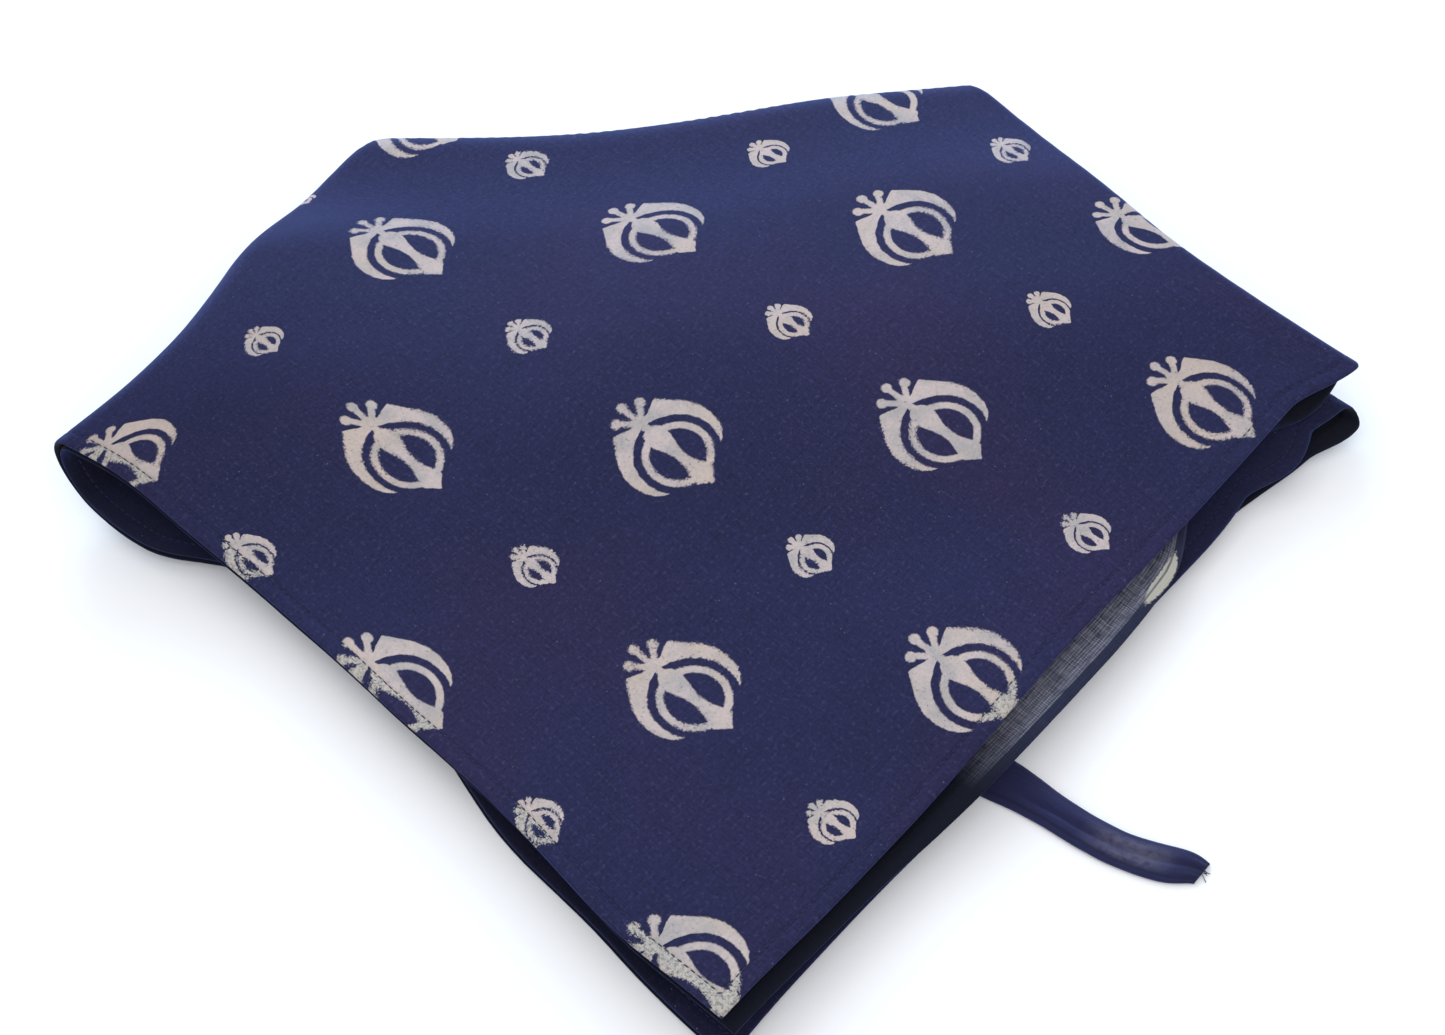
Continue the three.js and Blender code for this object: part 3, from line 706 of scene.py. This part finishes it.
def printed_cotton():
    finish = Finish("printed_cotton")
    place = FlatPlace(finish)
    hem = ((6.0 - place.edge) / 0.4).clamped()
    threads = plain_weave(finish, place.s, place.t, FINE_WEAVE)
    mask = emblem_mask(finish, place, hem) * (0.84 + threads * 0.16)

    clouds = ((finish.noise(11, 2.0, 0.5) - 0.45) * 3.0).clamped()
    navy = finish.mix(clouds * 0.6, (0.0145, 0.0140, 0.052, 1), (0.024, 0.0125, 0.048, 1))
    slubs = finish.streaks(70, 3.0, 0.7, stretch=20)
    nap = finish.noise(800, 2.0, 0.8)
    # Painted shade: on the lower layers the navy is darkened to 0.30 of its colour, and to 0.55 near the right
    # hem.
    painted_fold_shade = 0.30 + place.near_right_hem * 0.25
    painted_fold_shade = painted_fold_shade + place.top_layer * (1.0 - painted_fold_shade)
    shade = ((slubs - 0.5) * 1.6 + (nap - 0.5) * 1.3 + (threads - 0.6) * 0.5 + 1.0) * painted_fold_shade
    fibres = finish.noise(620, 1.0, 0.6, offset=(4, 4, 0)).ramp(0.64, 0.08)
    lint_cells = {"Vector": finish.flat, "Scale": 90.0}
    lint_place = finish.node("ShaderNodeTexVoronoi", {"voronoi_dimensions": "2D"}, lint_cells)
    rare = finish.noise(85, 0.0, 0.5, offset=(7, 2, 0)).ramp(0.60, 0.02)
    lint = ((0.018 - lint_place) / 0.010).clamped() * rare
    blotch = finish.noise(95, 3.0, 0.6)
    ink = finish.mix(((blotch - 0.36) * 3.4).clamped(), (0.62, 0.51, 0.47, 1), (0.46, 0.415, 0.39, 1))
    warm = ((finish.noise(26, 2.0, 0.5, offset=(1, 6, 0)) - 0.46) * 6.0).clamped()
    ink = finish.mix(warm * 0.55, ink, (0.62, 0.49, 0.39, 1))
    ink = finish.mix(hem * 0.6, ink, (0.57, 0.54, 0.44, 1))
    ink = finish.scaled(ink, (nap - 0.5) * 0.35 + 1.0)
    colour = finish.mix(fibres * 0.04 * painted_fold_shade, finish.scaled(navy, shade), (0.35, 0.33, 0.55, 1))
    colour = finish.mix(mask, colour, ink)
    colour = finish.mix(lint * 0.5, colour, (0.42, 0.42, 0.55, 1))
    height = threads * 0.5 + slubs * 0.8 + mask * 0.5
    inputs = {"Base Color": colour, "Roughness": 0.88 - mask * 0.1, "Sheen Weight": 0.42,
              "Sheen Roughness": 0.42, "Sheen Tint": (0.16, 0.28, 0.95, 1), "Specular IOR Level": 0.2}
    return finish.finish(inputs, bump=height, bump_depth=WEAVE_BUMP)


printed = printed_cotton()
print("printed cotton has", len(printed.node_tree.nodes), "nodes")


# %% [markdown]
# ## The wrong side
# The print doesn't go through, and the dye is thinner there, so the threads look grey and the weave is easy
# to see. It shows as a pale strip where the second layer sticks out under the right hem. Inside the folds
# the photo is nearly black. An even surround lights a fold deeper than a room does, so painted shade makes
# the wrong side near black there, and painted light makes it a little lighter under the right hem.

# %% Wrong side of the cotton
# The pale strip, and the painted light under the right hem: from the middle line out, then along the hem
STRIP_IN, STRIP_START, STRIP_END = 300.0, 26.0, 232.0
LIT_IN, LIT_START = 322.0, 14.0
TURNED_PRINT_PLACE = 110.0


def wrong_cotton():
    finish = Finish("wrong_side_cotton")
    place = FlatPlace(finish)
    hem = ((3.6 - place.edge) / 0.5).clamped()
    threads = plain_weave(finish, place.s, place.t, WORN_WEAVE)
    streaks = finish.streaks(110, 2.0, 0.7, stretch=14)
    along_hem = 0.0 - place.t
    at_hem = place.s.ramp(STRIP_IN, 10.0)
    strip_ends = ((STRIP_END - along_hem) / 40.0).clamped()
    in_pale_strip = at_hem * along_hem.ramp(STRIP_START, 30.0) * strip_ends
    pale = ((streaks - 0.3) * 2.6).clamped() * (0.12 + threads * 0.88) * (1.0 - hem * 0.95) * in_pale_strip
    # Painted shade and light: the wrong side is painted near black inside the folds, and a little lighter near
    # the right hem, where light reaches in.
    near_light = place.s.ramp(LIT_IN, 12.0) * along_hem.ramp(LIT_START, 14.0) * strip_ends
    shaded = finish.mix(near_light, (0.0035, 0.0045, 0.012, 1), (0.014, 0.017, 0.045, 1))
    colour = finish.mix(pale, shaded, (0.29, 0.29, 0.34, 1))
    from_middle = finish.length((along_hem - TURNED_PRINT_PLACE) / 14.0, (place.edge - 2.6) / 2.4)
    turned_print = ((1.0 - from_middle + (finish.noise(700, 3.0, 0.7) - 0.5) * 0.5) / 0.12).clamped()
    # Less of the turned print shows along a line 3.4 mm in from the edge, inside the hem.
    dark_band = ((0.5 - abs(place.edge - 3.4)) / 0.3).clamped()
    turned_print = turned_print * at_hem * (1.0 - dark_band * 0.8)
    colour = finish.mix(turned_print, colour, (0.42, 0.40, 0.34, 1))
    inputs = {"Base Color": colour, "Roughness": 0.9, "Sheen Weight": 0.08, "Sheen Roughness": 0.5,
              "Specular IOR Level": 0.12}
    return finish.finish(inputs, bump=threads * 0.6 + streaks, bump_depth=WEAVE_BUMP)


wrong = wrong_cotton()
cloth_mesh.materials.append(printed)
cloth_mesh.materials.append(wrong)
print("two sides finished")

# %% [markdown]
# ## Hem stitches
# A line of small machine stitches runs round the cloth, just inside the hem's inner edge. It repeats along
# a path, which is what Geometry Nodes are for: the path is resampled to the stitch length, and a short
# thread is set on each point and turned along it.

# %% The stitch path on the printed side
STITCH_PITCH = 2.6
STITCH_LENGTH = 1.9
STITCH_WIDTH = 0.42
SIDE_POINTS = 419
STITCH_LIFT = 0.1
at = HALF - GROOVE_PLACE
side_steps = np.linspace(-at, at, SIDE_POINTS + 1)[:-1]
end_steps = np.full(SIDE_POINTS, at)
path_s = np.concatenate([side_steps, end_steps, -side_steps, -end_steps])
path_t = np.concatenate([-end_steps, side_steps, end_steps, -side_steps])
path_offset = np.full(path_s.shape, SOLID_WALL / 2 - GROOVE_DEPTH + STITCH_LIFT)
path = (cloth_point(path_s, path_t, path_offset) + shift) * MM
path_mesh = bpy.data.meshes.new("stitch_path")
path_mesh.from_pydata(path.tolist(), [(n, (n + 1) % len(path)) for n in range(len(path))], [])
path_object = placed("stitch_path", path_mesh)
print("stitch path of", len(path), "points")


# %% Thread
def thread_finish():
    finish = Finish("navy_thread")
    twist = finish.noise(1500, 2.0, 0.6)
    colour = finish.mix(twist, (0.010, 0.010, 0.035, 1), (0.03, 0.03, 0.08, 1))
    return finish.finish({"Base Color": colour, "Roughness": 0.7, "Specular IOR Level": 0.3})


thread = thread_finish()


# %% The stitching as Geometry Nodes
def stitching_tree(name, material):
    tree = bpy.data.node_groups.new(name, "GeometryNodeTree")
    tree.interface.new_socket("Path", in_out="INPUT", socket_type="NodeSocketGeometry")
    for label in ("Pitch", "Length", "Width"):
        tree.interface.new_socket(label, in_out="INPUT", socket_type="NodeSocketFloat")
    tree.interface.new_socket("Stitches", in_out="OUTPUT", socket_type="NodeSocketGeometry")
    add = tree.nodes.new
    link = tree.links.new
    start, end = add("NodeGroupInput"), add("NodeGroupOutput")
    curve, even = add("GeometryNodeMeshToCurve"), add("GeometryNodeResampleCurve")
    even.mode = "LENGTH"
    bead, place = add("GeometryNodeMeshUVSphere"), add("GeometryNodeInstanceOnPoints")
    bead.inputs["Segments"].default_value = 6
    bead.inputs["Rings"].default_value = 4
    bead.inputs["Radius"].default_value = 0.5
    tangent, turn = add("GeometryNodeInputTangent"), add("FunctionNodeAlignRotationToVector")
    turn.axis = "X"
    size = add("ShaderNodeCombineXYZ")
    real, paint = add("GeometryNodeRealizeInstances"), add("GeometryNodeSetMaterial")
    paint.inputs["Material"].default_value = material
    link(start.outputs["Path"], curve.inputs["Mesh"])
    link(curve.outputs["Curve"], even.inputs["Curve"])
    link(start.outputs["Pitch"], even.inputs["Length"])
    link(even.outputs["Curve"], place.inputs["Points"])
    link(bead.outputs["Mesh"], place.inputs["Instance"])
    link(tangent.outputs["Tangent"], turn.inputs["Vector"])
    link(turn.outputs["Rotation"], place.inputs["Rotation"])
    link(start.outputs["Length"], size.inputs["X"])
    link(start.outputs["Width"], size.inputs["Y"])
    link(start.outputs["Width"], size.inputs["Z"])
    link(size.outputs["Vector"], place.inputs["Scale"])
    link(place.outputs["Instances"], real.inputs["Geometry"])
    link(real.outputs["Geometry"], paint.inputs["Geometry"])
    link(paint.outputs["Geometry"], end.inputs["Stitches"])
    return tree


modifier = path_object.modifiers.new("stitches", "NODES")
modifier.node_group = stitching_tree("hem_stitching", thread)
sizes = {"Pitch": STITCH_PITCH * MM, "Length": STITCH_LENGTH * MM, "Width": STITCH_WIDTH * MM}
for item in modifier.node_group.interface.items_tree:
    if item.name in sizes:
        modifier[item.identifier] = sizes[item.name]
stitch_mesh = finished_mesh(path_object)
smooth_faces(stitch_mesh)
stitches = placed("hem_stitches", stitch_mesh)
bpy.data.objects.remove(path_object)
print(len(stitch_mesh.polygons), "faces in the stitches")

# %% [markdown]
# ## The tie strap
# The strap is a strip of the same thin cotton, folded in two along its length and not pressed. It comes out
# from under the hem, lies on the table, narrows, and ends in a gathered tip with a few raw threads. It is a
# thin sheet that runs along the bottom, round the fold and back over the top.

# %% Sections of the strap: place along it, sideways drift and width in strap widths, height share
TIE_SECTIONS = np.array([
    (0.0, 0.3, 1.0, 0.5), (0.15, 0.25, 1.1, 0.5), (0.3, 0.2, 1.3, 0.5), (0.38, 0.08, 1.25, 0.5),
    (0.46, 0.0, 1.1, 0.85), (0.56, -0.05, 0.95, 1.0), (0.66, -0.12, 0.95, 1.0), (0.76, -0.25, 0.97, 0.9),
    (0.85, -0.5, 1.05, 0.8), (0.93, -0.78, 1.1, 0.8), (0.975, -0.95, 0.9, 0.8), (1.0, -1.05, 0.55, 0.6),
])
STRAP_WALL = 0.45
# Shares of the strip's width for its bottom run, for the fold and for the top run that comes back over it
RUN_SHARE, FOLD_SHARE, FOLD_END = 0.46, 0.08, 0.54
BOTTOM_START, BOTTOM_WIDTH = -0.47, 0.91
TOP_START, TOP_WIDTH = 0.44, 0.86
EDGE_HEIGHT, CROWN_HEIGHT = 0.35, 0.65
TABLE_GAP = 0.03
hem_point = cloth_point(np.array([-HALF]), np.array([TIE_PLACE]), np.array([0.0]))[0]
hem_place = hem_point[0] * math.cos(TURN) + hem_point[1] * math.sin(TURN)
along = np.linspace(0, 1, 90)
drift, width, height = (np.interp(along, TIE_SECTIONS[:, 0], TIE_SECTIONS[:, k]) for k in (1, 2, 3))
soft = np.exp(-0.5 * (np.arange(-4, 5) / 2.0) ** 2)
soft = soft / soft.sum()
padded = [np.pad(x, 4, mode="edge") for x in (drift, width, height)]
drift, width, height = (np.convolve(x, soft, mode="valid") for x in padded)
print("the strap leaves the hem at", round(float(hem_place), 1), "mm along the first fold")

# %% The strap's surface
around = np.linspace(0, 1, 49)
A, Q = np.meshgrid(along, around, indexing="ij")
fold_turn = np.clip((Q - RUN_SHARE) / FOLD_SHARE, 0, 1) * math.pi
on_top = Q > 0.5
over_top = TOP_START - (Q - FOLD_END) / RUN_SHARE * TOP_WIDTH
reach_across = np.where(on_top, over_top, BOTTOM_START + Q / RUN_SHARE * BOTTOM_WIDTH)
in_fold = (Q > RUN_SHARE) & (Q < FOLD_END)
crown = 1 - (2 * np.abs(reach_across)) ** 3
crease = 0.42 * np.exp(-(((reach_across - 0.12 + 0.3 * (A - 0.5)) / 0.09) ** 2))
crease = crease - 0.2 * np.exp(-(((reach_across + 0.1 + 0.3 * (A - 0.5)) / 0.16) ** 2))
crease = crease + 0.05 * np.sin(A * 37 + reach_across * 9)
gathers = 0.22 * smooth((A - 0.9) / 0.08) * np.abs(np.sin(reach_across * 14 + 3 * A))
crease = crease + gathers
open_height = height[:, None] * TIE_HEIGHT - 2 * STRAP_WALL
top_rise = open_height * (EDGE_HEIGHT + CROWN_HEIGHT * crown) * (1 - crease * smooth((A - 0.4) / 0.1))
lift = np.where(on_top, top_rise, 0.0)
fold_height = open_height * (EDGE_HEIGHT + CROWN_HEIGHT * (1 - (2 * TOP_START) ** 3))
across_share = np.where(in_fold, TOP_START + 0.05 * np.sin(fold_turn), reach_across)
lift = np.where(in_fold, fold_height * (1 - np.cos(fold_turn)) / 2, lift)
strap_s = hem_place - TIE_HIDDEN + A * (TIE_HIDDEN + TIE_VISIBLE)
strap_t = TIE_PLACE + (drift[:, None] + across_share * width[:, None]) * TIE_WIDTH
strap_z = np.maximum(lift, 0) + STRAP_WALL / 2 + TABLE_GAP
strap_points = to_frame(np.stack([strap_s, strap_t, strap_z], axis=-1)) + shift
index = np.arange(A.size).reshape(A.shape)
strap_faces = np.stack([index[:-1, :-1], index[:-1, 1:], index[1:, 1:], index[1:, :-1]], axis=-1)
strap_faces = strap_faces.reshape(-1, 4)
strap_mesh = bpy.data.meshes.new("tie_strap")
strap_mesh.from_pydata((strap_points.reshape(-1, 3) * MM).tolist(), [], strap_faces.tolist())
flat_length = TIE_HIDDEN + TIE_VISIBLE
flat_width = 2 * TIE_WIDTH
strap_uv = np.stack([A.ravel() * flat_length, Q.ravel() * flat_width], axis=-1) * MM
flat_map(strap_mesh, "flat_cloth", strap_uv)
smooth_faces(strap_mesh)
strap = placed("tie_strap", strap_mesh)
solid = strap.modifiers.new("cotton_wall", "SOLIDIFY")
solid.thickness = STRAP_WALL * MM
solid.offset = 0
strap_mesh_done = finished_mesh(strap)
strap.modifiers.clear()
strap.data = strap_mesh_done
print(len(strap_mesh_done.polygons), "faces in the strap")


# %% The strap's cotton
def plain_cotton():
    finish = Finish("plain_cotton")
    s, t = (axis * 1000.0 for axis in finish.split(finish.flat))
    threads = plain_weave(finish, s, t, FINE_WEAVE)
    streaks = finish.noise(110, 2.0, 0.7, stretch=(1, 14, 1))
    patches = (finish.noise(260, 3.0, 0.7) * 2.6 - 0.5).clamped()
    sheer = s.ramp(68.0, 12.0) * ((99.0 - s) / 8.0).clamped()
    sheer = sheer * (1.0 - (abs(t - 21.5) - 3.0) / 2.5).clamped() * patches
    dye_and_painted_shade = finish.mix(streaks, (0.012, 0.013, 0.052, 1), (0.021, 0.022, 0.080, 1))
    # Painted shade: the gathered tip is darkened towards near black, and a dark band also runs along the top
    # run beside the fold.
    dark_band = ((0.8 - abs(t - 16.5)) / 0.5).clamped().most(s.ramp(97.0, 6.0) * 0.75)
    dye_and_painted_shade = finish.mix(dark_band * 0.5, dye_and_painted_shade, (0.004, 0.004, 0.014, 1))
    colour = finish.mix(sheer * (0.2 + threads * 0.45), dye_and_painted_shade, (0.17, 0.16, 0.22, 1))
    inputs = {"Base Color": colour, "Roughness": 0.88, "Sheen Weight": 0.3, "Sheen Roughness": 0.45,
              "Sheen Tint": (0.35, 0.42, 0.95, 1), "Specular IOR Level": 0.25}
    return finish.finish(inputs, bump=threads * 0.5 + streaks * 0.8, bump_depth=WEAVE_BUMP)


strap.data.materials.clear()
strap.data.materials.append(plain_cotton())

# %% [markdown]
# ## Raw threads
# A few threads stick out of the strap's cut end. Each is a short bent tube, drawn as a curve with a round
# section and turned into a mesh. A fixed seed gives the same threads in each run.

# %% Raw threads at the strap's end
THREAD_RADIUS = 0.13
THREAD_COUNT, THREAD_STEPS = 4, 7
THREAD_HIDDEN = 1.5
rng = np.random.default_rng(7)
curve = bpy.data.curves.new("raw_threads", "CURVE")
curve.dimensions = "3D"
curve.bevel_depth = THREAD_RADIUS * MM
curve.bevel_resolution = 2
curve.use_fill_caps = True
tip_s = hem_place + TIE_VISIBLE
tip_t = TIE_PLACE + float(drift[-1]) * TIE_WIDTH
for n in range(THREAD_COUNT):
    side = rng.uniform(-0.12, 0.12) * TIE_WIDTH
    bend = rng.uniform(-1.6, 1.6)
    reach = rng.uniform(1.0, 3.0)
    spline = curve.splines.new("POLY")
    spline.points.add(THREAD_STEPS)
    for k, point in enumerate(spline.points):
        share = k / THREAD_STEPS
        flat_point = np.array([
            tip_s - THREAD_HIDDEN + (reach + THREAD_HIDDEN) * share,
            tip_t + side + bend * share * share,
            0.3 + 1.1 * math.sin(math.pi * min(1, share + 0.25)) * rng.uniform(0.8, 1.0),
        ])
        point.co = (*((to_frame(flat_point) + shift) * MM), 1)
curve_object = placed("raw_threads_curve", curve)
threads_mesh = finished_mesh(curve_object)
raw_threads = placed("raw_threads", threads_mesh)
bpy.data.objects.remove(curve_object)
raw_threads.data.materials.clear()
raw_threads.data.materials.append(thread)
print(len(threads_mesh.polygons), "faces in the raw threads")

# %% [markdown]
# ## Floor and parents
# The floor gets its pale finish, each piece rides on the root body, and the CAD solids of the cloth and
# the strap are hidden.

# %% Floor's finish and pieces
floor_finish = bpy.data.materials.new("pale_floor")
floor_finish.use_nodes = True
floor_surface = floor_finish.node_tree.nodes["Principled BSDF"]
floor_surface.inputs["Base Color"].default_value = (0.93, 0.93, 0.93, 1)
floor_surface.inputs["Roughness"].default_value = 0.9
floor.data.materials.append(floor_finish)

for piece in (cloth, stitches, strap, raw_threads):
    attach(piece, "root")
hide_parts("cloth")
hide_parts("tie")
